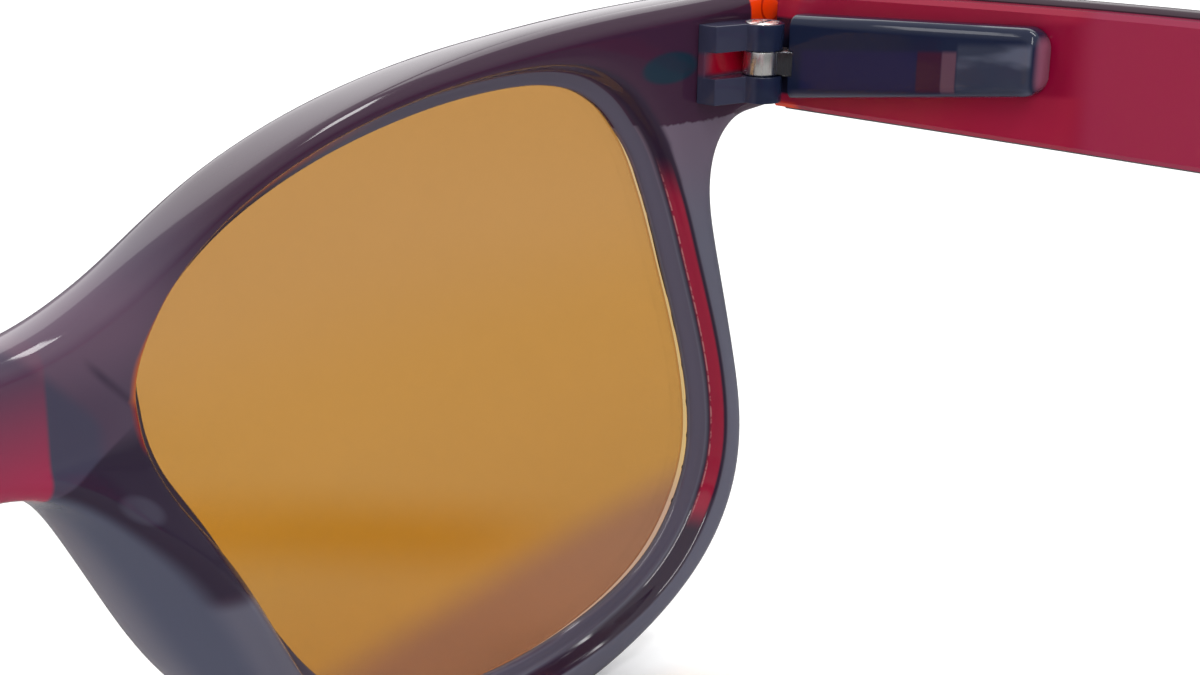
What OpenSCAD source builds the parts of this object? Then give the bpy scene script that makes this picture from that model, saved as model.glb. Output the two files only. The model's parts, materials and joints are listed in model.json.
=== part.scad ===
// Full-rim sunglasses with a thick moulded front, tinted lenses and two-tone folding temples.
// The middle plane is x = 0, the wearer looks along -y and the temples run back along +y.
// Heights are first measured from the middle of a lens opening. The glasses then lean back
// until the two rims and the two temple tips rest on the plane z = 0.

/* [Lens openings] */
// Width of a lens opening at the rear of the front
opening_w = 53.7; // [51:0.1:56]
// Height of a lens opening at the rear of the front
opening_h = 46.8; // [45:0.1:49]
// Distance from the middle plane to the middle of an opening
opening_x = 37.85; // [37:0.05:40]
// Width of the lip that the lens rests on
lip_w = 1.25; // [1:0.05:1.5]
// Thickness of a lens
lens_t = 1.6; // [1.2:0.1:2]

/* [Front] */
// Reach of an end piece past the lens opening
end_w = 6.6; // [6:0.1:8]
// Height of the brow above the lens opening
brow_h = 3.5; // [3.2:0.1:5]
// Height of the rim below the lens opening
chin_h = 3.1; // [2.7:0.1:4]
// Depth of the rear face behind the lens seat
rear_d = 2.1; // [1.8:0.1:2.8]
// Depth of the front face before the lens seat
front_d = 2.75; // [2.7:0.05:3.4]
// Swell of the front face between its edges
dome_d = 0.3; // [0.1:0.1:0.6]
// Radius of the sideways curve of the front
wrap_r = 300; // [260:10:500]
// Radius of the upright curve of the front
tall_r = 1500; // [900:50:2500]
// Rounding of the rear outer edge
rear_edge = 1.3; // [0.8:0.1:1.5]
// Rounding of the front outer edge
front_edge = 1.6; // [1:0.1:1.8]
// Height of a nose pad above the rear face
pad_d = 2.4; // [1.8:0.1:3.2]

/* [Temples] */
// Distance from the front end of a temple to its tip
temple_reach = 124; // [115:1:132]
// Height of a temple along its straight run
temple_h = 10.2; // [9.8:0.1:11.2]
// Thickness of the dark outer layer
shell_t = 2.5; // [2:0.1:3]
// Thickness of the red inner layer
liner_t = 1.5; // [1:0.1:2]
// How far a tip curves in towards the head
tip_in = 4; // [0:0.5:6]

/* [Hinges] */
// Height of the front knuckle block
block_h = 5.8; // [5.4:0.1:6.4]
// Height of the metal eye in the slot of the block
eye_h = 1.8; // [1.6:0.05:2.3]
// Radius of the metal eye
eye_r = 1.35; // [1.25:0.05:1.5]
// Radius of the hinge screw
screw_r = 0.7; // [0.6:0.05:0.8]
// Distance from the hinge axis to the inner face of a temple
hinge_off = 2.5; // [2.3:0.05:2.8]
// Distance of the hinge axis behind the rear face
hinge_back = 2.15; // [2.05:0.05:2.6]
// Length of the raised hinge housing on the temple
housing_l = 19.6; // [18:0.2:24]
// Height of the housing at its front end
housing_h = 6.2; // [5.6:0.1:7]
// Thickness of the housing
housing_t = 2; // [1.8:0.1:2.2]

/* [Hidden] */

// Fits, small edges and cuts
fit_gap = 0.05;
butt_gap = 0.4;
layer_gap = 0.02;
overrun = 1;
small_edge = 0.35;
round_fn = 48;

// Reaches of the half outline from the middle of an opening
reach_out = opening_w / 2 + end_w;
reach_up = opening_h / 2 + brow_h;
reach_down = opening_h / 2 + chin_h;

// Cross-section of the rim, measured from the rear edge of the opening and from the lens seat.
// The front lip is slim and bevelled, so that it barely shows through the lens.
wall_slope = 0.25;
seat_y = 0.25;
seat_t = 0.6;
groove_rear_y = seat_y - seat_t;
groove_front_y = groove_rear_y - lens_t - 2 * fit_gap;
lip_in = wall_slope + lip_w;
groove_in = wall_slope + 0.32 * lip_w;
front_hold = 0.25;
front_in = groove_in + front_hold;
front_lip = 0.15;
bevel_w = 0.5;
cut_share = 0.3;
swell_shares = [0.3, 0.7];
edge_rise_share = 0.75;
pad_rise_shares = [0.88, 0.97];
edge_limit_share = 0.45;

// Half outline, clockwise from the top of the bridge to its underside. Each row holds the
// outer point, the pad height and the edge rounding. Sideways shares run from the middle
// plane at -1 to the end piece at 1, upright shares from the chin at -1 to the brow at 1.
outline_shares = [
    [-1, 0.48, 0, 1], [-0.847, 0.506, 0, 1], [-0.701, 0.587, 0, 1], [-0.49, 0.73, 0, 1],
    [-0.258, 0.848, 0, 1], [0.022, 0.929, 0, 1], [0.348, 0.974, 0, 1], [0.68, 0.993, 0, 1],
    [0.925, 1, 0, 1], [1, 0.922, 0, 1], [1, 0.729, 0, 1], [0.934, 0.658, 0, 1],
    [0.821, 0.643, 0, 1], [0.758, 0.561, 0, 1], [0.749, 0.42, 0, 1], [0.786, 0.227, 0, 1],
    [0.842, -0.06, 0, 1], [0.871, -0.294, 0, 1], [0.848, -0.525, 0, 1], [0.731, -0.74, 0, 1],
    [0.492, -0.917, 0, 1], [0.199, -1, 0, 1], [-0.089, -0.977, 0, 1],
    [-0.324, -0.842, 0.08, 1.05], [-0.503, -0.634, 0.5, 1.5], [-0.642, -0.415, 1, 2],
    [-0.734, -0.196, 1, 1.8], [-0.807, -0.008, 0.6, 1.2], [-0.876, 0.123, 0.15, 1.1],
    [-1, 0.171, 0, 1]];

// Rear edge of the lens opening, in step with the rows above, as shares of its half size.
// The last points face the section of the bridge on the middle plane.
opening_shares = [
    [-0.966, 0.47], [-0.929, 0.543], [-0.847, 0.65], [-0.665, 0.786], [-0.378, 0.906],
    [-0.028, 0.983], [0.27, 1], [0.445, 0.97], [0.546, 0.915], [0.613, 0.855], [0.665, 0.786],
    [0.706, 0.726], [0.743, 0.654], [0.777, 0.568], [0.818, 0.453], [0.873, 0.269],
    [0.959, -0.034], [1, -0.312], [0.966, -0.543], [0.825, -0.782], [0.564, -0.932],
    [0.214, -1], [-0.121, -0.957], [-0.389, -0.821], [-0.557, -0.611], [-0.695, -0.355],
    [-0.812, -0.124], [-0.92, 0.056], [-0.97, 0.192], [-0.985, 0.286], [-0.993, 0.355],
    [-0.985, 0.415]];

// Side view of a temple from the hinge to the tip: shares of its reach, then shares of its
// height above the line through the hinge
top_shares = [
    [0, 0.4], [0.117, 0.455], [0.23, 0.49], [0.399, 0.495], [0.544, 0.44], [0.657, 0.22],
    [0.738, -0.3], [0.819, -1.12], [0.891, -1.99], [0.956, -2.8], [0.992, -3.32],
    [1.001, -3.65], [0.995, -3.84]];
bottom_shares = [
    [0, -0.54], [0.117, -0.545], [0.23, -0.555], [0.383, -0.57], [0.504, -0.63],
    [0.585, -0.86], [0.661, -1.42], [0.738, -2.23], [0.815, -3.04], [0.879, -3.64],
    [0.927, -3.98], [0.96, -4.02], [0.98, -3.98]];
tip_low_share = bottom_shares[11];
bend_share = 0.55;

// Places along the outline
rows = len(outline_shares);
turns = len(opening_shares);
steps = 2;
stations = turns * steps;
bridge_inset = front_edge + small_edge;

// Smooth curve through points
function spline(a, b, c, d, t) =
    0.5 * (2 * b + (c - a) * t + (2 * a - 5 * b + 4 * c - d) * t * t
        + (3 * b - 3 * c + d - a) * t * t * t);
function flip_x(p) = [for (k = [0 : len(p) - 1]) k == 0 ? -p[k] : p[k]];
function unit(v) = v / norm(v);
function blend(a, b, t) = a + (b - a) * t;

// Points of the outline in millimetres
function outer_point(s) = concat(
    [opening_x + s[0] * (s[0] < 0 ? opening_x : reach_out),
    s[1] * (s[1] < 0 ? reach_down : reach_up)],
    [s[2], s[3]]);
outer_points = [for (s = outline_shares) outer_point(s)];
inner_points = [for (s = opening_shares)
    [opening_x + s[0] * opening_w / 2, s[1] * opening_h / 2]];
function outer_row(k) =
    k < 0 ? flip_x(outer_points[-k]) :
    k > rows - 1 ? flip_x(outer_points[2 * (rows - 1) - k]) : outer_points[k];
function inner_row(k) = inner_points[(k + turns) % turns];
bridge_low = outer_points[rows - 1][1];
bridge_high = outer_points[0][1];

function outer_at(t) =
    t > rows - 1
        ? [0, blend(bridge_low + bridge_inset, bridge_high - bridge_inset,
            (t - rows + 1) / (turns - rows + 1)), 0, 0]
        : spline(outer_row(floor(t) - 1), outer_row(floor(t)), outer_row(floor(t) + 1),
            outer_row(floor(t) + 2), t - floor(t));
function inner_at(t) =
    spline(inner_row(floor(t) - 1), inner_row(floor(t)), inner_row(floor(t) + 1),
        inner_row(floor(t) + 2), t - floor(t));

// Unit normals that point away from the opening and into the rim
nudge = 0.01;
function left_of(v) = [-v[1], v[0]];
function inner_normal(t) = unit(left_of(inner_at(t + nudge) - inner_at(t + turns - nudge)));
function outer_normal(t) =
    let (ahead = outer_row_at(t + nudge), behind = outer_row_at(t - nudge))
    -unit(left_of([ahead[0] - behind[0], ahead[1] - behind[1]]));
function outer_row_at(t) =
    spline(outer_row(floor(t) - 1), outer_row(floor(t)), outer_row(floor(t) + 1),
        outer_row(floor(t) + 2), t - floor(t));

// The lens seat is a gently curved surface, and depths are counted from it
function seat_at(x, v) = x * x / (2 * wrap_r) + v * v / (2 * tall_r);
function on_seat(p, y) = [p[0], seat_at(p[0], p[1]) + y, p[1]];

// One ring of points across the rim
function rim_ring(t) =
    let (
        bridge = t > rows - 1,
        in = inner_at(t),
        away = inner_normal(t),
        row = outer_at(t),
        out = [row[0], row[1]],
        into = bridge ? [1, 0] : outer_normal(t),
        pad = bridge ? 0 : pad_d * max(0, row[2]),
        room = norm(out - in) * edge_limit_share,
        rear_r = bridge ? 0 : min(rear_edge * row[3], room),
        front_r = bridge ? 0 : min(front_edge, room),
        lift = edge_rise_share * pad,
        rear_a = in + away * small_edge,
        rear_b = out + into * (rear_r + pad),
        front_a = in + away * bevel_w,
        front_b = out + into * front_r,
        top = rear_d + pad
    )
    [
        on_seat(in - away * lip_in, seat_y),
        on_seat(in - away * wall_slope, seat_y),
        on_seat(in, rear_d - small_edge + lift),
        on_seat(rear_a, rear_d + lift),
        on_seat(blend(rear_a, rear_b, swell_shares[0]), rear_d + pad * pad_rise_shares[0]),
        on_seat(blend(rear_a, rear_b, swell_shares[1]), rear_d + pad * pad_rise_shares[1]),
        on_seat(rear_b, top),
        on_seat(out + into * (cut_share * rear_r + pad), top - cut_share * rear_r),
        on_seat(out + into * pad, top - rear_r),
        on_seat(out, front_r - front_d),
        on_seat(out + into * cut_share * front_r, cut_share * front_r - front_d),
        on_seat(front_b, -front_d),
        on_seat(blend(front_b, front_a, swell_shares[0]), -front_d - dome_d),
        on_seat(blend(front_b, front_a, swell_shares[1]), -front_d - dome_d),
        on_seat(front_a, -front_d),
        on_seat(in - away * front_in, groove_front_y - front_lip),
        on_seat(in - away * front_in, groove_front_y),
        on_seat(in - away * groove_in, groove_front_y),
        on_seat(in - away * groove_in, groove_rear_y),
        on_seat(in - away * lip_in, groove_rear_y)
    ];
rear_count = 6;
edge_count = 6;

// Temple layout
temple_out = opening_x + reach_out - 2 * butt_gap;
temple_in = temple_out - shell_t - liner_t;
layer_x = temple_in + liner_t;
temple_v_share = 0.866;
temple_v = temple_v_share * reach_up;
temple_y = seat_at(temple_out, temple_v) + rear_d + butt_gap;

// Hinge layout
axis_x = temple_in - hinge_off;
block_drop = 1.3;
block_v = temple_v - block_drop;
axis_y = seat_at(axis_x, block_v) + rear_d + hinge_back;
knuckle_r = eye_r + 0.2 * eye_r;
housing_y = axis_y + knuckle_r + small_edge;
housing_x = temple_in - housing_t;

// The glasses lean back and sink by a small amount, which leaves flats to stand on. Then they
// move forwards, so that the middle of their length is y = 0.
settle_d = 0.3;
tip_low = [temple_y + tip_low_share[0] * temple_reach, temple_v + tip_low_share[1] * temple_h];
lean = atan((tip_low[1] + reach_down) / tip_low[0]);
tip_end = [temple_y + top_shares[11][0] * temple_reach, temple_v + top_shares[11][1] * temple_h];
back_end = tip_end[0] * cos(lean) + (tip_end[1] + reach_down) * sin(lean);
front_end = (bridge_low + reach_down) * sin(lean) - (front_d + dome_d) * cos(lean);
forwards = (back_end + front_end) / 2;
function stood(p) =
    let (h = p[2] + reach_down)
    [p[0], p[1] * cos(lean) + h * sin(lean) - forwards,
        max(0, h * cos(lean) - p[1] * sin(lean) - settle_d)];
module stand() {
    translate([0, -forwards, -settle_d])
        rotate([-lean, 0, 0])
        translate([0, 0, reach_down])
        children();
}

// Triangles between neighbouring rings
function quad(a, b, c, d) = [[a, b, c], [a, c, d]];
function ring_faces(i, next, m, first, last) = [
    for (j = [first : last])
        each quad(i * m + j, next * m + j, next * m + (j + 1) % m, i * m + (j + 1) % m)];
function turned(faces, shift) = [for (f = faces) [f[2] + shift, f[1] + shift, f[0] + shift]];

// A closed bar through open rings, with a flat cap at each end
module bar(rings) {
    m = len(rings[0]);
    n = len(rings);
    polyhedron(
        points = [for (r = rings) each r],
        faces = concat(
            [for (i = [0 : n - 2]) each ring_faces(i, i + 1, m, 0, m - 1)],
            [for (j = [1 : m - 2]) [0, j, j + 1]],
            [for (j = [1 : m - 2]) [(n - 1) * m, (n - 1) * m + j + 1, (n - 1) * m + j]]));
}

module side(s) {
    if (s > 0) children();
    else mirror([1, 0, 0]) children();
}

// Both rims, the bridge, the nose pads and the end pieces in one moulding
module front_frame() {
    m = len(rim_ring(0));
    half = [for (i = [0 : stations - 1]) each rim_ring(i / steps)];
    bridge_start = (rows - 1) * steps;
    faces = [for (i = [0 : stations - 1])
        each i < bridge_start
            ? ring_faces(i, i + 1, m, 0, m - 1)
            : concat(ring_faces(i, (i + 1) % stations, m, 0, rear_count - 1),
                ring_faces(i, (i + 1) % stations, m, rear_count + edge_count - 1, m - 1))];
    color([0.25, 0.13, 0.2])
        polyhedron(
            points = [for (p = concat(half, [for (q = half) flip_x(q)])) stood(p)],
            faces = concat(faces, turned(faces, len(half))));
}

// A tinted lens that fills the groove around its opening
lens_rings_shares = [1, 0.8, 0.55, 0.3];
function lens_ring(t, s, y) =
    let (
        edge = inner_at(t) - inner_normal(t) * (groove_in + fit_gap),
        middle = [opening_x, 0]
    )
    on_seat(blend(middle, edge, s), y);
module lens(s) {
    rear = groove_rear_y - fit_gap;
    front = rear - lens_t;
    m = 2 * len(lens_rings_shares);
    last = m / 2 - 1;
    points = concat(
        [for (i = [0 : stations - 1]) each concat(
            [for (k = [last : -1 : 0]) lens_ring(i / steps, lens_rings_shares[k], rear)],
            [for (k = [0 : last]) lens_ring(i / steps, lens_rings_shares[k], front)])],
        [on_seat([opening_x, 0], rear), on_seat([opening_x, 0], front)]);
    middle = stations * m;
    color([0.72, 0.5, 0.26])
        side(s)
        polyhedron(
            points = [for (p = points) stood(p)],
            faces = concat(
                [for (i = [0 : stations - 1])
                    each ring_faces(i, (i + 1) % stations, m, 0, m - 2)],
                [for (i = [0 : stations - 1]) [middle, ((i + 1) % stations) * m, i * m]],
                [for (i = [0 : stations - 1])
                    [middle + 1, i * m + m - 1, ((i + 1) % stations) * m + m - 1]]));
}
module lens_left() lens(1);
module lens_right() lens(-1);

// One cross-section of a temple layer: places across the thickness with the distances in
// from the lower or the upper edge
temple_rows = len(top_shares);
temple_steps = 3;
function side_point(s) = [temple_y + s[0] * temple_reach, temple_v + s[1] * temple_h];
function edge_row(shares, k) =
    k < 0 ? 2 * side_point(shares[0]) - side_point(shares[1]) :
    k > temple_rows - 1
        ? 2 * side_point(shares[temple_rows - 1]) - side_point(shares[temple_rows - 2])
        : side_point(shares[k]);
function edge_at(shares, t) =
    spline(edge_row(shares, floor(t) - 1), edge_row(shares, floor(t)),
        edge_row(shares, floor(t) + 1), edge_row(shares, floor(t) + 2), t - floor(t));
function curve_in(y) =
    let (start = temple_y + bend_share * temple_reach, run = temple_reach * (1 - bend_share))
    -tip_in * pow(max(0, y - start) / run, 2);
function temple_ring(t, profile) =
    let (
        low = edge_at(bottom_shares, t),
        high = edge_at(top_shares, t),
        up = unit(high - low),
        tall = norm(high - low)
    )
    [for (p = profile)
        let (
            d = min(p[1], tall * edge_limit_share),
            at = p[2] < 0 ? low + up * d : high - up * d
        )
        stood([p[0] + curve_in(at[0]), at[0], at[1]])];
module temple_layer(s, profile) {
    n = (temple_rows - 1) * temple_steps;
    side(s)
        bar([for (i = [0 : n]) temple_ring(i / temple_steps, profile)]);
}

// Dark outer layer of a temple
shell_edge = 1.3;
shell_profile = [
    [layer_x + layer_gap, small_edge, -1],
    [layer_x + layer_gap, small_edge, 1],
    [layer_x + small_edge, 0, 1],
    [temple_out - shell_edge, 0, 1],
    [temple_out - cut_share * shell_edge, cut_share * shell_edge, 1],
    [temple_out, shell_edge, 1],
    [temple_out, shell_edge, -1],
    [temple_out - cut_share * shell_edge, cut_share * shell_edge, -1],
    [temple_out - shell_edge, 0, -1],
    [layer_x + small_edge, 0, -1]];
module temple_shell(s) {
    color([0.2, 0.1, 0.15])
        temple_layer(s, shell_profile);
}
module temple_shell_left() temple_shell(1);
module temple_shell_right() temple_shell(-1);

// Red inner layer of a temple
liner_inset = 0.45;
liner_profile = [
    [temple_in, liner_inset + small_edge, -1],
    [temple_in, liner_inset + small_edge, 1],
    [temple_in + small_edge, liner_inset, 1],
    [layer_x, liner_inset, 1],
    [layer_x, liner_inset, -1],
    [temple_in + small_edge, liner_inset, -1]];
module temple_liner(s) {
    color([0.55, 0.06, 0.17])
        temple_layer(s, liner_profile);
}
module temple_liner_left() temple_liner(1);
module temple_liner_right() temple_liner(-1);

// Knuckle block on the rear face of an end piece: two knuckles on a thin foot, with a slot
// between them for the metal eye
block_w = 4.1;
block_rise = 1.6;
foot_t = 0.6;
head_r = screw_r + 0.5;
head_h = 0.5;
slot_gap = fit_gap;
block_points = 5;
wall_w = block_w / block_points;
block_x = axis_x - block_w;
function block_base(rise) = [for (k = [0 : block_points])
    let (x = block_x + wall_w * k)
    [x, seat_at(x, block_v + block_h / 2) + rear_d + fit_gap + rise]];
module knuckles() {
    difference() {
        linear_extrude(block_h)
            union() {
                polygon(concat(block_base(0),
                    [[axis_x, axis_y], [axis_x - wall_w, axis_y], block_base(block_rise)[0]]));
                translate([axis_x, axis_y])
                    circle(r = knuckle_r, $fn = round_fn);
            }
        translate([block_x - overrun, 0, (block_h - eye_h) / 2 - slot_gap])
            cube([block_w + knuckle_r + 2 * overrun, axis_y + knuckle_r + overrun,
                eye_h + 2 * slot_gap]);
        translate([axis_x, axis_y, -overrun])
            cylinder(r = screw_r + layer_gap, h = block_h + 2 * overrun, $fn = round_fn);
        translate([axis_x, axis_y, block_h - head_h])
            cylinder(r = head_r + fit_gap, h = head_h + overrun, $fn = round_fn);
    }
}
module hinge_block(s) {
    color([0.13, 0.15, 0.27])
        side(s)
        stand()
        translate([0, 0, block_v - block_h / 2])
        union() {
            knuckles();
            linear_extrude(block_h)
                polygon(concat(block_base(0),
                    [for (k = [block_points : -1 : 0]) block_base(foot_t)[k]]));
        }
}
module hinge_block_left() hinge_block(1);
module hinge_block_right() hinge_block(-1);

// Screw that carries the hinge, with a slotted head
slot_w = 0.4;
slot_d = 0.25;
module hinge_screw(s) {
    shank = block_h - head_h;
    color([0.75, 0.75, 0.73])
        side(s)
        stand()
        translate([axis_x, axis_y, block_v - block_h / 2])
        difference() {
            union() {
                cylinder(r = screw_r, h = shank, $fn = round_fn);
                translate([0, 0, shank])
                    cylinder(r = head_r, h = head_h, $fn = round_fn);
            }
            translate([-head_r - overrun, -slot_w / 2, block_h - slot_d])
                cube([2 * head_r + 2 * overrun, slot_w, slot_d + overrun]);
        }
}
module hinge_screw_left() hinge_screw(1);
module hinge_screw_right() hinge_screw(-1);

// Metal leaf of a hinge: the eye around the screw, a neck and a plate held in the housing
plate_t = 0.9;
plate_l = 8.5;
plate_h = 3;
housing_lift = 0.4;
plate_y = housing_y + small_edge;
plate_x = housing_x + (housing_t - plate_t) / 2;
module leaf_shape(gap) {
    translate([plate_x - gap, plate_y - gap, block_v + housing_lift - plate_h / 2 - gap])
        cube([plate_t + 2 * gap, plate_l + 2 * gap, plate_h + 2 * gap]);
    translate([0, 0, block_v - eye_h / 2 - gap])
        linear_extrude(eye_h + 2 * gap)
        polygon([
            [axis_x - gap, axis_y + eye_r],
            [plate_x - gap, plate_y + plate_t],
            [plate_x + plate_t + gap, plate_y + plate_t],
            [plate_x + plate_t + gap, plate_y - eye_r],
            [axis_x + eye_r, axis_y]]);
}
module hinge_leaf(s) {
    color([0.8, 0.8, 0.78])
        side(s)
        stand()
        difference() {
            union() {
                leaf_shape(0);
                translate([axis_x, axis_y, block_v - eye_h / 2])
                    cylinder(r = eye_r, h = eye_h, $fn = round_fn);
            }
            translate([axis_x, axis_y, block_v - eye_h / 2 - overrun])
                cylinder(r = screw_r + fit_gap, h = eye_h + 2 * overrun, $fn = round_fn);
        }
}
module hinge_leaf_left() hinge_leaf(1);
module hinge_leaf_right() hinge_leaf(-1);

// Raised housing on the inner face of a temple, which tapers to a rounded end
housing_end_h = 4.8;
housing_rise = 1.7;
corner_r = 1.5;
module housing_side() {
    long = housing_l - corner_r;
    low = -housing_h / 2;
    end_low = housing_rise - housing_end_h / 2;
    end_high = housing_rise + housing_end_h / 2;
    polygon([[0, low], [long, end_low], [long, end_high], [0, -low]]);
    translate([long - overrun, end_low + corner_r])
        square([corner_r + overrun, housing_end_h - 2 * corner_r]);
    for (v = [end_low + corner_r, end_high - corner_r])
        translate([long, v])
            circle(r = corner_r, $fn = round_fn);
}
module hinge_housing(s) {
    color([0.12, 0.13, 0.24])
        side(s)
        stand()
        difference() {
            translate([housing_x, housing_y, block_v + housing_lift])
                rotate([90, 0, 90])
                linear_extrude(housing_t - layer_gap)
                housing_side();
            leaf_shape(layer_gap);
        }
}
module hinge_housing_left() hinge_housing(1);
module hinge_housing_right() hinge_housing(-1);

// Decorative oval stud on the front of an end piece
rivet_l = 7;
rivet_h = 2.8;
rivet_t = 0.8;
rivet_out = 11.8;
module front_rivet(s) {
    rivet_x = opening_x + reach_out - rivet_out;
    color([0.8, 0.8, 0.78])
        side(s)
        stand()
        translate([rivet_x, seat_at(rivet_x, temple_v) - front_d - dome_d - fit_gap, temple_v])
        rotate([90, 0, atan(rivet_x / wrap_r)])
        linear_extrude(rivet_t)
        union() {
            for (k = [-1, 1])
                translate([k * (rivet_l - rivet_h) / 2, 0])
                    circle(d = rivet_h, $fn = round_fn);
            square([rivet_l - rivet_h, rivet_h], center = true);
        }
}
module front_rivet_left() front_rivet(1);
module front_rivet_right() front_rivet(-1);

front_frame();
lens_left();
lens_right();
hinge_block_left();
hinge_block_right();
hinge_leaf_left();
hinge_leaf_right();
hinge_screw_left();
hinge_screw_right();
hinge_housing_left();
hinge_housing_right();
temple_shell_left();
temple_shell_right();
temple_liner_left();
temple_liner_right();
front_rivet_left();
front_rivet_right();
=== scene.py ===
# %% [markdown]
# # Sunglasses with amber lenses
# This lesson dresses a imported CAD model of sunglasses: a thick moulded front of see-through
# plum plastic, amber lenses, navy hinge pieces with a bright metal eye, and temples with a
# crimson inner layer. The CAD pieces are already in place, so the work here is smooth
# surfaces, honest materials, soft light and the right camera. Loading the frame comes first.

# %% Load the frame
import bpy
import bmesh
import json
import math
from types import SimpleNamespace
from mathutils import Matrix, Vector


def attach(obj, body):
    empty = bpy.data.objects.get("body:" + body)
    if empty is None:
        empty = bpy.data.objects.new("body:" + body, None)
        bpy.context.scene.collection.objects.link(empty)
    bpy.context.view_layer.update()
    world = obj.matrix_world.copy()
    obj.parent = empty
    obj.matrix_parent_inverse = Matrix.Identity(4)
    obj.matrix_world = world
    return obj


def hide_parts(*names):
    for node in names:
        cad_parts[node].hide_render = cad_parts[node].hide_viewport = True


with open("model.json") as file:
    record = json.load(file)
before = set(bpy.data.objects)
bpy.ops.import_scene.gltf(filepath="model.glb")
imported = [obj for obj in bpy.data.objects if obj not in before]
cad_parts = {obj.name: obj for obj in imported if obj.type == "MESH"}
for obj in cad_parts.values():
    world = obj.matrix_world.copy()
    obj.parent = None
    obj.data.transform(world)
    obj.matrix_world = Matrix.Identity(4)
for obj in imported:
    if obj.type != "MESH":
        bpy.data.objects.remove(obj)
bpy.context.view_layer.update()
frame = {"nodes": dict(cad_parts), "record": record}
nodes = frame["nodes"]
mm = 0.001
sides = ("left", "right")
print("pieces in the frame:", len(nodes))

# %% [markdown]
# The camera comes next, because every later choice is judged through it. The photograph is a
# close view from behind, between the open temples. The place and the directions below were
# worked out from the edges of one lens, the bridge and the temple, so the camera is built
# from them and not aimed by eye. The plain Standard view shows a colour as it is written.

# %% Camera
camera_data = bpy.data.cameras.new("camera")
camera_data.sensor_width = 36
camera_data.lens = 60.66
camera_data.clip_start = 0.01
camera_data.clip_end = 20
camera = bpy.data.objects.new("camera", camera_data)
bpy.context.scene.collection.objects.link(camera)
camera_place = Vector((62.9, 25.85, 68.3)) * mm
camera_right = Vector((-0.5882, 0.80786, -0.03819))
camera_back = Vector((0.7725, 0.57517, 0.26921)).normalized()
camera_up = camera_back.cross(camera_right).normalized()
camera_right = camera_up.cross(camera_back)
turn = Matrix((camera_right, camera_up, camera_back)).transposed().to_4x4()
camera.matrix_world = Matrix.Translation(camera_place) @ turn
bpy.context.scene.camera = camera
bpy.context.scene.view_settings.view_transform = "Standard"
print("camera height in millimetres:", round(camera_place.z / mm, 1))

# %% [markdown]
# Every material below is a small tree of shader nodes, and a few short helpers keep those
# trees readable. `feed` puts a number, a colour or another node's output into a socket, and
# `calc` does sums. `rise` is a soft step from 0 to 1, `band` rises and falls again, and
# `times` multiplies such masks. `mix` blends two colours, and `paint` lays a new colour over
# an old one where a mask says so.

# %% Helpers for masks and colours
def feed(tree, socket, value):
    if isinstance(value, bpy.types.NodeSocket):
        tree.links.new(value, socket)
    elif isinstance(value, tuple) and len(value) == 3 and socket.type == "RGBA":
        socket.default_value = (*value, 1)
    else:
        socket.default_value = value

def calc(tree, operation, *values):
    node = tree.nodes.new("ShaderNodeMath")
    node.operation = operation
    for socket, value in zip(node.inputs, values):
        feed(tree, socket, value)
    return node.outputs[0]

def rise(tree, value, low, high):
    node = tree.nodes.new("ShaderNodeMapRange")
    node.interpolation_type = "SMOOTHSTEP"
    feed(tree, node.inputs["Value"], value)
    node.inputs["From Min"].default_value = low
    node.inputs["From Max"].default_value = high
    return node.outputs["Result"]

def band(tree, value, low, high, soft):
    up = rise(tree, value, low - soft, low + soft)
    down = rise(tree, value, high - soft, high + soft)
    return calc(tree, "SUBTRACT", up, down)

def times(tree, *masks):
    result = masks[0]
    for mask in masks[1:]:
        result = calc(tree, "MULTIPLY", result, mask)
    return result

def mix(tree, share, first, second):
    node = tree.nodes.new("ShaderNodeMix")
    node.data_type = "RGBA"
    feed(tree, node.inputs[0], share)
    feed(tree, node.inputs[6], first)
    feed(tree, node.inputs[7], second)
    return node.outputs[2]

def paint(tree, colour, where, new_colour):
    return mix(tree, where, colour, new_colour)
print("mask and colour helpers ready")

# %% [markdown]
# The next helpers know about space. `sloped` measures along a slanted ruler, and `oval` gives
# the squared distance from the middle of an oval, so that 1 is its edge. `noise` is a cloudy
# pattern fixed to the piece, and `bump` turns such a pattern into fine relief.

# %% Helpers for patterns
def sloped(tree, across, up, degrees):
    angle = math.radians(degrees)
    return calc(tree, "ADD", calc(tree, "MULTIPLY", across, math.cos(angle)),
        calc(tree, "MULTIPLY", up, math.sin(angle)))

def oval(tree, across, up, centre, flatten=1.0):
    aside = calc(tree, "MULTIPLY", calc(tree, "SUBTRACT", across, centre[0]), flatten)
    above = calc(tree, "SUBTRACT", up, centre[1])
    return calc(tree, "ADD", times(tree, aside, aside), times(tree, above, above))

def noise(tree, scale, detail=3.0, stretch=(1, 1, 1)):
    coordinates = tree.nodes.new("ShaderNodeTexCoord")
    mapping = tree.nodes.new("ShaderNodeMapping")
    mapping.inputs["Scale"].default_value = stretch
    tree.links.new(coordinates.outputs["Object"], mapping.inputs["Vector"])
    node = tree.nodes.new("ShaderNodeTexNoise")
    node.inputs["Scale"].default_value = scale
    node.inputs["Detail"].default_value = detail
    tree.links.new(mapping.outputs["Vector"], node.inputs["Vector"])
    return node.outputs[0]

def bump(tree, height, distance, strength):
    node = tree.nodes.new("ShaderNodeBump")
    node.inputs["Strength"].default_value = strength
    node.inputs["Distance"].default_value = distance
    feed(tree, node.inputs["Height"], height)
    return node.outputs["Normal"]
print("pattern helpers ready")

# %% [markdown]
# A new material starts from the plain shader. `polish` gives any of the plastics its finish:
# how strongly it mirrors, how hazy the gloss is from place to place, and the long shallow
# waves that every polished moulding has. Plastic bends light by about 1.46.

# %% New materials and their polish
plastic_ior = 1.46

def new_material(name):
    material = bpy.data.materials.new(name)
    material.use_nodes = True
    return material, material.node_tree, material.node_tree.nodes["Principled BSDF"]

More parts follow.
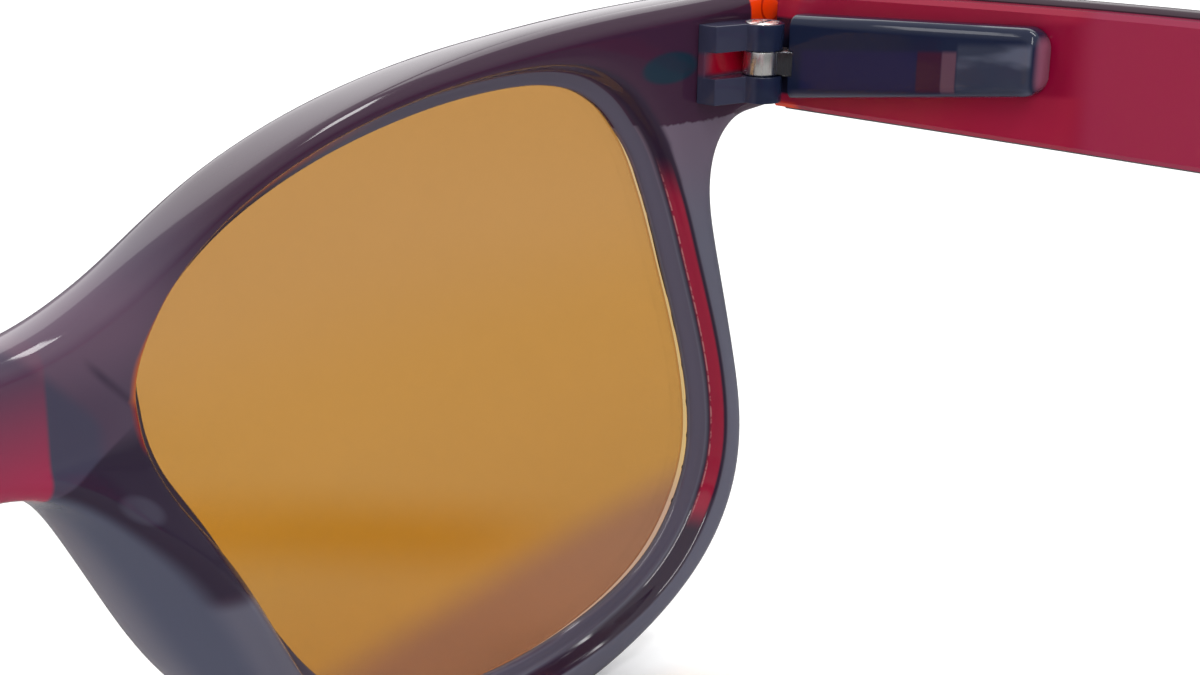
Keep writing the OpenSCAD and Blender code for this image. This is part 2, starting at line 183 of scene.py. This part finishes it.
def polish(tree, shader, mirror, haze, haze_spread, least_haze,
        waves, wave_height, wave_share):
    shader.inputs["IOR"].default_value = plastic_ior
    shader.inputs["Specular IOR Level"].default_value = mirror
    feed(tree, shader.inputs["Roughness"],
        calc(tree, "MULTIPLY_ADD", haze, haze_spread, least_haze))
    feed(tree, shader.inputs["Normal"], bump(tree, waves, wave_height, wave_share))
print("light bends by", plastic_ior)

# %% [markdown]
# Product photographs of small glossy things are mostly photographs of the room that they
# mirror. Here that room is pale overhead and darker near the horizon, which keeps the dark
# plastic dark. Light on dull surfaces comes evenly from all round, and the camera, also when
# it looks through the lenses, sees plain white.

# %% World
horizon_grey, ceiling_white = (0.25, 0.24, 0.26), (1.0, 1.0, 1.0)
even_light = (0.48, 0.48, 0.48)

def ray_is(tree, *kinds):
    path = tree.nodes.new("ShaderNodeLightPath")
    result = path.outputs[kinds[0]]
    for kind in kinds[1:]:
        result = calc(tree, "MAXIMUM", result, path.outputs[kind])
    return result

def add_world():
    world = bpy.data.worlds.new("studio")
    bpy.context.scene.world = world
    world.use_nodes = True
    tree = world.node_tree
    coordinates = tree.nodes.new("ShaderNodeTexCoord")
    split = tree.nodes.new("ShaderNodeSeparateXYZ")
    tree.links.new(coordinates.outputs["Generated"], split.inputs[0])
    height = rise(tree, split.outputs["Z"], 0.0, 0.5)
    room = mix(tree, height, horizon_grey, ceiling_white)
    light = mix(tree, ray_is(tree, "Is Glossy Ray"), even_light, room)
    plain = ray_is(tree, "Is Camera Ray", "Is Transmission Ray")
    seen = mix(tree, plain, light, (1.0, 1.0, 1.0))
    feed(tree, tree.nodes["Background"].inputs["Color"], seen)

add_world()
print("world ready")

# %% [markdown]
# Each lamp is a soft rectangle that stands 0.9 m from the glasses and faces them. The strips
# were worked back from highlights in the photograph, such as the streak over the bridge, and
# a wide lamp in front stands in for a window. The list gives the direction of each lamp, the
# way that its long side runs, its size in metres and its brightness.

# %% Lamps
lamp_distance = 0.9
lamp_target = Vector((-0.03, -0.05, 0.03))
lamps = (
    ("soft_box", (-0.66, -0.10, 0.72), (0, 1, 0), (0.5, 0.4), 2.0),
    ("strip_over_bridge", (-0.32, 0.31, 0.89), (0, 1, 0), (0.4, 0.12), 14.0),
    ("strip_behind", (0.53, 0.53, 0.66), (0.79, 0, -0.62), (0.8, 0.04), 30.0),
    ("strip_in_front", (0.53, -0.45, 0.72), (0.8, 0, -0.6), (0.4, 0.2), 5.0),
    ("window", (-0.45, -0.68, 0.55), (1, 0, 0), (1.0, 0.5), 1.5),
)

def add_lamp(name, direction, along, size, brightness):
    data = bpy.data.lights.new(name, "AREA")
    data.shape = "RECTANGLE"
    data.size, data.size_y = size
    data.energy = brightness * math.pi * size[0] * size[1]
    lamp = bpy.data.objects.new(name, data)
    bpy.context.scene.collection.objects.link(lamp)
    away = Vector(direction).normalized()
    side = Vector(along).cross(away).normalized()
    turn = Matrix((side.cross(away) * -1, side * -1, away)).transposed().to_4x4()
    lamp.matrix_world = Matrix.Translation(lamp_target + away * lamp_distance) @ turn

for lamp in lamps:
    add_lamp(*lamp)
print("lamps:", len(lamps))

# %% [markdown]
# The glasses stand on a white sheet. To the camera it is white and catches their shadow, with
# a little shine of its own that grows far away, where the lamps don't reach. In mirrored rays
# it is a small grey sheet that ends close by, as the real one does.

# %% Floor
sheet_white = (0.95, 0.95, 0.95)
sheet_mirrored, beyond_sheet = (0.30, 0.30, 0.30), (0.10, 0.10, 0.10)
floor_half_width = 6
shine_near, shine_growth = 0.12, 0.5

def floor_material():
    material, tree, shader = new_material("floor_white")
    coordinates = tree.nodes.new("ShaderNodeTexCoord")
    length = tree.nodes.new("ShaderNodeVectorMath")
    length.operation = "LENGTH"
    tree.links.new(coordinates.outputs["Object"], length.inputs[0])
    distance = length.outputs["Value"]
    mirrored = mix(tree, rise(tree, distance, 0.10, 0.18), sheet_mirrored, beyond_sheet)
    sheet = mix(tree, ray_is(tree, "Is Glossy Ray"), sheet_white, mirrored)
    plain = ray_is(tree, "Is Camera Ray", "Is Transmission Ray")
    feed(tree, shader.inputs["Base Color"], mix(tree, plain, sheet, sheet_white))
    shader.inputs["Roughness"].default_value = 0.9
    shader.inputs["Emission Color"].default_value = (1, 1, 1, 1)
    far_away = rise(tree, distance, 0.3, 1.5)
    shine = calc(tree, "MULTIPLY_ADD", far_away, shine_growth, shine_near)
    feed(tree, shader.inputs["Emission Strength"], times(tree, plain, shine))
    return material

bm = bmesh.new()
bmesh.ops.create_grid(bm, x_segments=1, y_segments=1, size=floor_half_width)
floor_mesh = bpy.data.meshes.new("floor")
bm.to_mesh(floor_mesh)
bm.free()
floor = bpy.data.objects.new("floor", floor_mesh)
bpy.context.scene.collection.objects.link(floor)
floor.data.materials.append(floor_material())
print("floor ready, half width in metres:", floor_half_width)

# %% [markdown]
# The imported pieces are made of loose triangles, which shade as flat facets. Each moulded
# piece gets a copy whose doubles are merged and whose triangles are joined to quads, so that
# it can be shaded smooth. The front is also rounded by a Subdivision Surface, the way a
# polished moulding is round.

# %% Smooth copies
doubles_within = 0.002 * mm

def copy_of(node_name, piece_name, body):
    bm = bmesh.new()
    bm.from_mesh(nodes[node_name].data)
    bmesh.ops.remove_doubles(bm, verts=bm.verts, dist=doubles_within)
    mesh = bpy.data.meshes.new(piece_name)
    piece = bpy.data.objects.new(piece_name, mesh)
    bpy.context.scene.collection.objects.link(piece)
    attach(piece, body)
    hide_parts(node_name)
    return piece, bm

def to_quads(bm, sharpest=60):
    bmesh.ops.join_triangles(bm, faces=bm.faces, angle_face_threshold=math.radians(sharpest),
        angle_shape_threshold=math.radians(180))

def finish_mesh(piece, bm, material):
    for face in bm.faces:
        face.smooth = True
    bm.to_mesh(piece.data)
    bm.free()
    piece.data.materials.append(material)
    print(piece.name, "faces", len(piece.data.polygons))
print("helpers for smooth copies ready")

# %% [markdown]
# A see-through plastic doesn't have one colour: it glows red where it is thin and goes nearly
# black where it is thick. To paint that, a point of the glasses gets three numbers in
# millimetres, as on a pattern laid over the front: `out` from the middle plane, `back` behind
# the lenses and `up` from the middle of the lenses. The front leans a little on the table, so
# the lean is taken out first. It is the lean of the hinge axes. The sums run once in Python,
# to find places on the mesh, and once in shader nodes, to paint.

# %% Places on the glasses
hinge_axis = frame["record"]["behaviour"]["joints"][0]["axis"]
lean = math.atan2(hinge_axis[1], hinge_axis[2])
forwards, settle, reach_down = 67.342, 0.3, 26.5
wrap_r, tall_r = 300, 1500

def depth_of(point):
    y = point[1] / mm + forwards
    z = point[2] / mm + settle
    up = y * math.sin(lean) + z * math.cos(lean) - reach_down
    back = y * math.cos(lean) - z * math.sin(lean)
    return back - (point[0] / mm) ** 2 / (2 * wrap_r) - up ** 2 / (2 * tall_r)

def places(tree):
    coordinates = tree.nodes.new("ShaderNodeTexCoord")
    split = tree.nodes.new("ShaderNodeSeparateXYZ")
    tree.links.new(coordinates.outputs["Object"], split.inputs[0])
    x, y, z = [calc(tree, "MULTIPLY", output, 1 / mm) for output in split.outputs]
    y = calc(tree, "ADD", y, forwards)
    z = calc(tree, "ADD", z, settle)
    degrees = math.degrees(lean)
    up = calc(tree, "SUBTRACT", sloped(tree, z, y, degrees), reach_down)
    return calc(tree, "ABSOLUTE", x), sloped(tree, y, z, -degrees), up
print("lean in degrees:", round(math.degrees(lean), 2))

# %% [markdown]
# The glow in the wall round each lens follows the section of the rim, not the pattern above.
# The mesh of the front is a grid that runs round each opening, so a walk straight across it
# can number the rows: 0 at the lip that holds the lens, 1 and 2 on the wall of the opening,
# 3 to 6 on the rear face, and on over the outer edge. The rows of the groove that holds the
# lens get numbers below 0. The inner edge of the lip stays sharp, because it meets the lens.

# %% Rows across the rim
lip_rear, lip_front, near_enough = 0.25, -0.35, 0.03
last_row, groove_rows = 12, 5

def straight_on(vert, edge):
    near = set(edge.link_faces)
    ahead = [e for e in vert.link_edges if e != edge and not near & set(e.link_faces)]
    return ahead[0] if len(ahead) == 1 else None

def number_rows(row, vert, step, numbers):
    for number in numbers:
        vert[row] = number
        step = straight_on(vert, step)
        in_middle = number and abs(vert.co.x) < 0.01 * mm
        if in_middle or step is None:
            break
        vert = step.other_vert(vert)

def mark_rows(bm):
    row = bm.verts.layers.float.new("row")
    for vert in bm.verts:
        vert[row] = last_row
    lips = [vert for vert in bm.verts if abs(depth_of(vert.co) - lip_rear) < near_enough]
    for lip in lips:
        for edge in lip.link_edges:
            inner = edge.other_vert(lip)
            if abs(depth_of(inner.co) - lip_front) < near_enough:
                number_rows(row, lip, edge, range(last_row))
                number_rows(row, inner, edge, range(-1, -1 - groove_rows, -1))
    crease = bm.edges.layers.float.new("crease_edge")
    for edge in bm.edges:
        if all(vert[row] == -1 for vert in edge.verts):
            edge[crease] = 1
    print("points on the two lips:", len(lips))
print("rows to number:", last_row + groove_rows)

# %% [markdown]
# Now the plum plastic, layer by layer, as if it were masked and sprayed. `front_places`
# gathers what the layers need: the three numbers above, the row, the `depth` behind the curve
# of the lenses, and `rear`, which is 1 on the rear and 0 on the front face. The ground is
# deep plum with faint clouds. Towards the bridge it is painted greyer, and lilac near the top
# of the bridge, as a painted reflection of the pale room. Low down it turns grey, because
# light comes up from the table, and under the hinge that grey begins at a ragged line. Lilac
# and grey stay on the rear.

# %% Plum ground
deep_plum, clouded_plum = (0.036, 0.012, 0.032), (0.048, 0.018, 0.042)
bridge_reflection_plum, bridge_reflection_lilac = (0.068, 0.044, 0.078), (0.115, 0.070, 0.112)
lilac_grey, blue_grey = (0.130, 0.098, 0.140), (0.108, 0.108, 0.150)

def front_places(tree):
    out, back, up = places(tree)
    row = tree.nodes.new("ShaderNodeAttribute")
    row.attribute_name = "row"
    curve = calc(tree, "ADD", calc(tree, "MULTIPLY", times(tree, out, out), 0.5 / wrap_r),
        calc(tree, "MULTIPLY", times(tree, up, up), 0.5 / tall_r))
    depth = calc(tree, "SUBTRACT", back, curve)
    rear = rise(tree, depth, -2.3, -1.3)
    return SimpleNamespace(out=out, back=back, up=up, row=row.outputs["Fac"], depth=depth,
        rear=rear)

def plum_ground(tree, at):
    colour = mix(tree, noise(tree, 90, 4), deep_plum, clouded_plum)
    # Painted reflection: the bridge is painted greyer, and lilac near its top, for the pale room
    # that it mirrors.
    colour = paint(tree, colour, rise(tree, at.out, 20, 11), bridge_reflection_plum)
    lilac_reflection = times(tree, rise(tree, at.out, 17, 9), rise(tree, at.up, 8.5, 13),
        rise(tree, at.up, 17.5, 14), at.rear)
    colour = paint(tree, colour, lilac_reflection, bridge_reflection_lilac)
    ragged_up = calc(tree, "MULTIPLY_ADD", noise(tree, 900, 3), 0.9, at.up)
    below_hinge = times(tree, rise(tree, ragged_up, 18.3, 18.1), rise(tree, at.out, 44, 52))
    below_nose = times(tree, rise(tree, at.up, -4.6, -6.4), rise(tree, at.out, 34, 26))
    low = calc(tree, "MAXIMUM", below_hinge, below_nose)
    low = calc(tree, "MAXIMUM", low, rise(tree, at.up, -6, -14))
    grey = mix(tree, rise(tree, at.up, 17, 8), lilac_grey, blue_grey)
    return paint(tree, colour, times(tree, low, at.rear), grey)
print("ground of deep plum:", deep_plum)

# %% [markdown]
# The bridge is thin in its middle and glows red there. Beside the glow lie a bluish patch and
# a faint slanting line, where the bridge meets the nose pad.

# %% Bridge
bridge_red = (0.370, 0.020, 0.068)
bluish_plum, line_plum = (0.050, 0.046, 0.082), (0.042, 0.026, 0.052)

def paint_bridge(tree, at, colour):
    slant = sloped(tree, at.out, at.up, 45)
    patch = times(tree, rise(tree, slant, 11.8, 10.8), rise(tree, at.up, 3.5, 5.5),
        rise(tree, at.out, 9, 7.5))
    colour = paint(tree, colour, patch, bluish_plum)
    line = times(tree, band(tree, slant, 13.15, 13.55, 0.25),
        band(tree, at.out, 7.8, 11.4, 0.8))
    return paint(tree, colour, line, line_plum)

def paint_glow(tree, at, colour):
    glow = times(tree, rise(tree, at.out, 4.75, 4.35), rise(tree, at.up, 14.5, 2.0))
    return paint(tree, colour, glow, bridge_red)
print("glow of the bridge:", bridge_red)

# %% [markdown]
# The nose pad is the thickest place of the moulding. Its rear is painted nearly black, a
# painted dark reflection where the pad rises, with one paler blotch. Its flank faces the table
# and catches the pale light from there, more so towards the front.

# %% Nose pads
pad_dark_reflection, pad_blotch = (0.026, 0.017, 0.036), (0.050, 0.044, 0.072)
flank_dark, flank_pale = (0.072, 0.078, 0.122), (0.190, 0.180, 0.215)

def paint_nose_pads(tree, at, colour):
    nose_side = times(tree, rise(tree, at.out, 26, 20), rise(tree, at.up, 7.5, 5.5))
    below_crest = rise(tree, sloped(tree, at.out, at.up, 116.6), 1.55, 1.25)
    # Painted reflection: the rear of the pad is painted nearly black where it mirrors dark.
    pad = times(tree, below_crest, nose_side, rise(tree, at.up, -6.4, -4.6))
    colour = paint(tree, colour, pad, pad_dark_reflection)
    blotch = oval(tree, sloped(tree, at.out, at.up, -32), sloped(tree, at.out, at.up, 58),
        (7.4, 7.0), 0.45)
    colour = paint(tree, colour, times(tree, rise(tree, blotch, 0.8, 0.2), pad), pad_blotch)
    flank = times(tree, rise(tree, at.row, 6.4, 7.4), nose_side,
        rise(tree, at.depth, -2.75, -2.45))
    flank_grey = mix(tree, rise(tree, at.back, 1.6, -1.6), flank_dark, flank_pale)
    return paint(tree, colour, flank, flank_grey)
print("rear of the nose pads:", pad_dark_reflection)

# %% [markdown]
# Round each opening the numbered rows take over. The rear lip is grey on the outer side and
# plum on the nose side, and the front lip, which shows through the lens, is painted tan as
# painted light in its shade. The wall behind the rear lip is dark, but on the outer side red
# light shines through it, with a fine broken line of painted highlight. On the nose side the
# edge takes a thin orange line, which dulls to red lower down.

# %% Walls of the openings
lip_grey, lip_plum = (0.082, 0.072, 0.108), (0.034, 0.018, 0.034)
front_lip_painted_light, painted_highlight_pale = (0.350, 0.220, 0.140), (0.42, 0.16, 0.18)
wall_dark = (0.026, 0.014, 0.034)
wall_red, wall_bright_red = (0.26, 0.008, 0.036), (0.36, 0.022, 0.058)
edge_orange, edge_red = (0.45, 0.100, 0.030), (0.22, 0.016, 0.020)

def paint_openings(tree, at, colour):
    lip_colour = mix(tree, rise(tree, at.out, 30, 20), lip_grey, lip_plum)
    colour = paint(tree, colour, band(tree, at.row, -0.5, 0.95, 0.06), lip_colour)
    # Painted light: the front lip is painted pale tan in place of its shade.
    colour = paint(tree, colour, band(tree, at.row, -5.6, -3.8, 0.2), front_lip_painted_light)
    colour = paint(tree, colour, band(tree, at.row, 1.1, 2.7, 0.2), wall_dark)
    outer_side = times(tree, rise(tree, at.up, -15.8, -13.6), rise(tree, at.up, 15.5, 11),
        rise(tree, at.out, 54, 58))
    red = mix(tree, noise(tree, 200, 3, (1, 1, 0.2)), wall_red, wall_bright_red)
    red_part = times(tree, band(tree, at.row, 1.3, 2.25, 0.12), outer_side)
    colour = paint(tree, colour, red_part, red)
    # Painted highlight: a fine broken pale line along the wall.
    broken = rise(tree, noise(tree, 1500, 4), 0.40, 0.55)
    painted_highlight_line = times(tree, band(tree, at.row, 1.30, 1.38, 0.03), outer_side, broken)
    colour = paint(tree, colour, painted_highlight_line, painted_highlight_pale)
    edge = times(tree, band(tree, at.row, 0.4, 2.8, 0.25), rise(tree, at.out, 34, 16),
        rise(tree, at.up, 4.6, 5.6))
    edge_colour = mix(tree, rise(tree, at.up, 8.6, 7.6), edge_orange, edge_red)
    return paint(tree, colour, edge, edge_colour)
print("red of the walls:", wall_red)

# %% [markdown]
# Two things show at the hinge corner. The metal stud of the end piece shimmers through as a
# dark teal oval, and the cut end of the moulding lights up orange, with a small round ring.

# %% Hinge corner
stud_teal = (0.010, 0.026, 0.046)
corner_orange, ring_red = (0.95, 0.055, 0.002), (0.45, 0.015, 0.002)
stud_centre, ring_centre = (57.3, 22.0), (67.4, 25.4)

def paint_corner(tree, at, colour):
    stud = oval(tree, at.out, at.up, stud_centre, 0.42)
    colour = paint(tree, colour, rise(tree, stud, 1.7, 0.9), stud_teal)
    corner = times(tree, rise(tree, at.out, 65.25, 65.45), rise(tree, at.up, 23.6, 23.8),
        at.rear)
    colour = paint(tree, colour, corner, corner_orange)
    ring = oval(tree, at.out, at.up, ring_centre)
    return paint(tree, colour, band(tree, ring, 0.75, 1.1, 0.1), ring_red)
print("stud centre in millimetres:", stud_centre)

# %% [markdown]
# The layers go on one after another. One trick is left: the photograph shows no dark ring
# where the moulding grips the lens, so rays that come through the lens see the groove as
# bright white. Then the front gets its smooth copy, its rows and two steps of subdivision.

# %% Front
def plum_material():
    material, tree, shader = new_material("plum_plastic")
    at = front_places(tree)
    colour = plum_ground(tree, at)
    for layer in (paint_bridge, paint_nose_pads, paint_glow, paint_openings, paint_corner):
        colour = layer(tree, at, colour)
    feed(tree, shader.inputs["Base Color"], colour)
    polish(tree, shader, mirror=0.42, haze=noise(tree, 700, 2), haze_spread=0.05,
        least_haze=0.055, waves=noise(tree, 60, 2), wave_height=0.00025, wave_share=0.35)
    # Painted light: the groove glows white, but only for rays that come through the lens.
    groove = band(tree, at.row, -5.6, -1.2, 0.2)
    shader.inputs["Emission Color"].default_value = (1, 1, 1, 1)
    feed(tree, shader.inputs["Emission Strength"],
        times(tree, groove, ray_is(tree, "Is Transmission Ray")))
    return material

plum = plum_material()
front, bm = copy_of("front_frame", "front", "front")
to_quads(bm)
mark_rows(bm)
finish_mesh(front, bm, plum)
smooth = front.modifiers.new("smooth", "SUBSURF")
smooth.levels = smooth.render_levels = 2

# %% [markdown]
# The lenses are tinted glass: clear, polished and amber, a little bluer towards the top. A
# golden band painted across the lower part is a painted reflection of the temple, where the
# lens mirrors no white, and the lower outer corner is painted dusky brown, a painted shadow on
# the table seen through the lens. Shadow rays pass through as through coloured film, so that
# the table behind the lens stays lit.

# %% Amber lenses
amber_low, amber_high = (0.395, 0.195, 0.038), (0.395, 0.203, 0.058)
temple_reflection_gold, table_shadow_brown = (0.370, 0.155, 0.006), (0.260, 0.118, 0.060)
shadow_tint = (0.72, 0.5, 0.25, 1)

def amber_material():
    material, tree, shader = new_material("amber_lens")
    out, back, up = places(tree)
    colour = mix(tree, rise(tree, up, 2, 14), amber_low, amber_high)
    # Painted reflection: the golden band is where the lens mirrors the temple and no white.
    gold_reflection = times(tree, band(tree, sloped(tree, out, up, 72), 0.6, 4.6, 2.2),
        rise(tree, out, 58, 38))
    colour = paint(tree, colour, gold_reflection, temple_reflection_gold)
    # Painted shadow: the dusky brown corner is the shadow on the table seen through the lens.
    dusk_shadow = rise(tree, sloped(tree, out, up, 99.4), -19.4, -24.0)
    feed(tree, shader.inputs["Base Color"], paint(tree, colour, dusk_shadow, table_shadow_brown))
    shader.inputs["IOR"].default_value = 1.5
    shader.inputs["Transmission Weight"].default_value = 1
    shader.inputs["Specular IOR Level"].default_value = 0.35
    smear = calc(tree, "MULTIPLY", noise(tree, 220, 4), 0.03)
    feed(tree, shader.inputs["Roughness"], smear)
    film = tree.nodes.new("ShaderNodeBsdfTransparent")
    film.inputs["Color"].default_value = shadow_tint
    blend = tree.nodes.new("ShaderNodeMixShader")
    feed(tree, blend.inputs[0], ray_is(tree, "Is Shadow Ray"))
    feed(tree, blend.inputs[1], shader.outputs[0])
    feed(tree, blend.inputs[2], film.outputs[0])
    feed(tree, tree.nodes["Material Output"].inputs["Surface"], blend.outputs[0])
    return material

amber = amber_material()
for side in sides:
    lens, bm = copy_of("lens_" + side, "lens_glass_" + side, "front")
    to_quads(bm, sharpest=20)
    finish_mesh(lens, bm, amber)
    lens.data.set_sharp_from_angle(angle=math.radians(35))

# %% [markdown]
# The inner layer of a temple is crimson and see-through as well. It is deep near the hinge
# and lighter further back. Above and below the hinge housing more light gets through, so it
# is brighter there. Its cut front end lights up orange, as the edge of coloured acrylic does,
# and where it lies beside the hinge it is painted dark navy, a painted shadow of the hinge.
# `level` follows the housing, which slopes up a little towards the back.

# %% Crimson plastic
crimson_deep, crimson_clouded = (0.21, 0.001, 0.026), (0.26, 0.002, 0.032)
crimson_light, crimson_bright = (0.31, 0.020, 0.066), (0.33, 0.012, 0.045)
end_orange, hinge_shadow = (0.95, 0.06, 0.004), (0.012, 0.012, 0.030)
housing_slope = -0.1

def crimson_material():
    material, tree, shader = new_material("crimson_plastic")
    out, back, up = places(tree)
    colour = mix(tree, noise(tree, 70, 4, (1, 0.4, 1)), crimson_deep, crimson_clouded)
    colour = paint(tree, colour, rise(tree, back, 33.8, 36.4), crimson_light)
    level = calc(tree, "MULTIPLY_ADD", back, housing_slope, up)
    past_housing = calc(tree, "MAXIMUM", rise(tree, level, 18.7, 18.2),
        rise(tree, level, 23.2, 23.8))
    past_housing = times(tree, past_housing, rise(tree, back, 36, 34))
    colour = paint(tree, colour, past_housing, crimson_bright)
    tips = calc(tree, "MAXIMUM", rise(tree, up, 26.2, 27.0), rise(tree, up, 18.9, 18.3))
    colour = paint(tree, colour, times(tree, rise(tree, back, 13.4, 12.4), tips), end_orange)
    # Painted shadow: beside the hinge the crimson is painted dark navy.
    beside_hinge = times(tree, rise(tree, back, 13.6, 13.3), band(tree, up, 19.3, 25.0, 0.15))
    colour = paint(tree, colour, beside_hinge, hinge_shadow)
    feed(tree, shader.inputs["Base Color"], colour)
    polish(tree, shader, mirror=0.42, haze=noise(tree, 500, 3, (1, 0.2, 1)), haze_spread=0.12,
        least_haze=0.08, waves=noise(tree, 45, 3), wave_height=0.0004, wave_share=0.3)
    return material

crimson = crimson_material()
print("crimson by the hinge:", crimson_deep)

# %% [markdown]
# The outer layer is the dark plum that faces the room, a little cloudier along its length.
# Both layers keep their crisp long edges, so they are joined to quads and shaded smooth only
# across shallow angles.

# %% Temples
layer_dark, layer_clouded = (0.026, 0.010, 0.020), (0.050, 0.022, 0.038)

def dark_layer_material():
    material, tree, shader = new_material("dark_layer_plastic")
    colour = mix(tree, noise(tree, 80, 4, (1, 0.4, 1)), layer_dark, layer_clouded)
    feed(tree, shader.inputs["Base Color"], colour)
    polish(tree, shader, mirror=0.5, haze=noise(tree, 600, 3), haze_spread=0.08,
        least_haze=0.07, waves=noise(tree, 50, 3), wave_height=0.0003, wave_share=0.3)
    return material

dark_layer = dark_layer_material()
for side in sides:
    for part, material in (("shell", dark_layer), ("liner", crimson)):
        layer, bm = copy_of(f"temple_{part}_{side}", f"temple_{part}_new_{side}",
            "temple_" + side)
        to_quads(bm, sharpest=80)
        finish_mesh(layer, bm, material)
        layer.data.set_sharp_from_angle(angle=math.radians(40))

# %% [markdown]
# The hinge housing is a see-through navy moulding. The metal plate inside shows as a bluer
# patch near the hinge, a reddish gap and a pinkish sliver follow it, then comes a grey zone of
# painted reflection with pale ripples, and the far end lets the crimson behind it through. The
# lower edge is paler.
# The knuckle block is of the same plastic, lighter, and its slot shines red. Each inlay has
# its start and end behind the lenses, the softness of its ends and its colour.

# %% Navy plastic
navy_deep, navy_clouded = (0.008, 0.012, 0.036), (0.014, 0.020, 0.050)
plate_blue, gap_red = (0.014, 0.015, 0.058), (0.042, 0.012, 0.032)
sliver_pink = (0.110, 0.055, 0.085)
reflected_dark, reflected_pale = (0.034, 0.040, 0.070), (0.090, 0.100, 0.150)
end_pink, block_navy = (0.240, 0.080, 0.130), (0.032, 0.034, 0.066)
low_edge_grey, slot_red = (0.050, 0.046, 0.080), (0.400, 0.002, 0.020)
inlays = (
    (14.3, 23.7, 0.3, plate_blue),
    (23.7, 25.6, 0.1, gap_red),
    (25.6, 26.7, 0.1, sliver_pink),
)

def navy_material():
    material, tree, shader = new_material("navy_plastic")
    out, back, up = places(tree)
    colour = mix(tree, noise(tree, 130, 4), navy_deep, navy_clouded)
    level = calc(tree, "MULTIPLY_ADD", back, housing_slope, up)
    inside = band(tree, level, 18.8, 21.7, 0.2)
    for start, end, soft, inlay in inlays:
        part = times(tree, band(tree, back, start, end, soft), inside)
        colour = paint(tree, colour, part, inlay)
    # Painted reflection: a grey zone with pale ripples along the housing.
    ripple = rise(tree, noise(tree, 420, 3, (1, 0.3, 1)), 0.42, 0.62)
    reflection_zone = times(tree, band(tree, back, 26.75, 32.2, 0.15), band(tree, level, 18.7, 22.2, 0.3))
    colour = paint(tree, colour, reflection_zone, mix(tree, ripple, reflected_dark, reflected_pale))
    colour = paint(tree, colour, rise(tree, back, 32.3, 32.8), end_pink)
    colour = paint(tree, colour, rise(tree, back, 12.0, 11.6), block_navy)
    low_edge = times(tree, band(tree, level, 16.0, 18.6, 0.3), rise(tree, back, 13.0, 14.0))
    colour = paint(tree, colour, low_edge, low_edge_grey)
    slot = times(tree, rise(tree, back, 11.0, 10.2), band(tree, up, 21.2, 22.8, 0.25),
        rise(tree, out, 59.4, 61.4))
    feed(tree, shader.inputs["Base Color"], paint(tree, colour, slot, slot_red))
    polish(tree, shader, mirror=0.3, haze=noise(tree, 900, 3), haze_spread=0.06,
        least_haze=0.05, waves=noise(tree, 110, 3), wave_height=0.0002, wave_share=0.4)
    return material

navy = navy_material()
print("navy of the hinge:", navy_deep)

# %% [markdown]
# The eye, the screw and the studs are bright steel with a fine grain. The neck of the leaf,
# which sits in shadow between the hinge and the housing, is painted dark as painted shade: the
# same steel with a dark colour.

# %% Steel
def steel_material(name, light, dark):
    material, tree, shader = new_material(name)
    feed(tree, shader.inputs["Base Color"], mix(tree, noise(tree, 300, 4), light, dark))
    shader.inputs["Metallic"].default_value = 1
    grain = noise(tree, 2500, 3, (1, 1, 0.08))
    feed(tree, shader.inputs["Roughness"], calc(tree, "MULTIPLY_ADD", grain, 0.25, 0.14))
    feed(tree, shader.inputs["Normal"], bump(tree, grain, 0.00002, 0.5))
    return material

steel = steel_material("bright_steel", (0.80, 0.79, 0.76), (0.92, 0.92, 0.90))
# Painted shade: the shaded neck of a leaf gets the same steel in a dark colour.
painted_shade_steel = steel_material("painted_shade_steel", (0.05, 0.05, 0.06), (0.10, 0.10, 0.11))
print("steels:", steel.name, painted_shade_steel.name)

# %% [markdown]
# The hinge pieces are small, hard and sharp, so they keep their CAD faces and only get their
# edges rounded. The inner face of the housing gets a larger rounding on every side but the
# one at the hinge, and that rounding carries the long highlight. `leaf_neck_start` is a place
# along the glasses in millimetres, behind which a leaf gets the painted shade of its neck.

# %% Hinges
housing_rounding, edge_rounding = 0.9 * mm, 0.12 * mm
# Painted shade: behind this place a leaf is painted dark.
leaf_neck_start = -51.0

def round_housing(bm):
    inner = min(abs(vert.co.x) for vert in bm.verts)
    start = min(vert.co.y for vert in bm.verts)
    rim = [e for e in bm.edges if all(abs(v.co.x) < inner + 0.05 * mm for v in e.verts)
        and not all(v.co.y < start + 1.0 * mm for v in e.verts)]
    bmesh.ops.bevel(bm, geom=rim, affect="EDGES", offset=housing_rounding, segments=6,
        profile=0.5, material=-1)
    print("edges rounded on the housing:", len(rim))

for side in sides:
    temple = "temple_" + side
    for part, body, material in (("hinge_block", "front", navy), ("hinge_screw", "front", steel),
            ("front_rivet", "front", steel), ("hinge_leaf", temple, steel),
            ("hinge_housing", temple, navy)):
        piece, bm = copy_of(f"{part}_{side}", f"{part}_new_{side}", body)
        bmesh.ops.dissolve_limit(bm, angle_limit=math.radians(1), verts=bm.verts, edges=bm.edges)
        if part == "hinge_housing":
            round_housing(bm)
        finish_mesh(piece, bm, material)
        edge = piece.modifiers.new("edge", "BEVEL")
        edge.width = edge_rounding
        edge.segments = 3
        edge.harden_normals = True
        edge.limit_method = "ANGLE"
        if part == "hinge_leaf":
            piece.data.materials.append(painted_shade_steel)
            for face in piece.data.polygons:
                face.material_index = int(face.center.y / mm > leaf_neck_start)
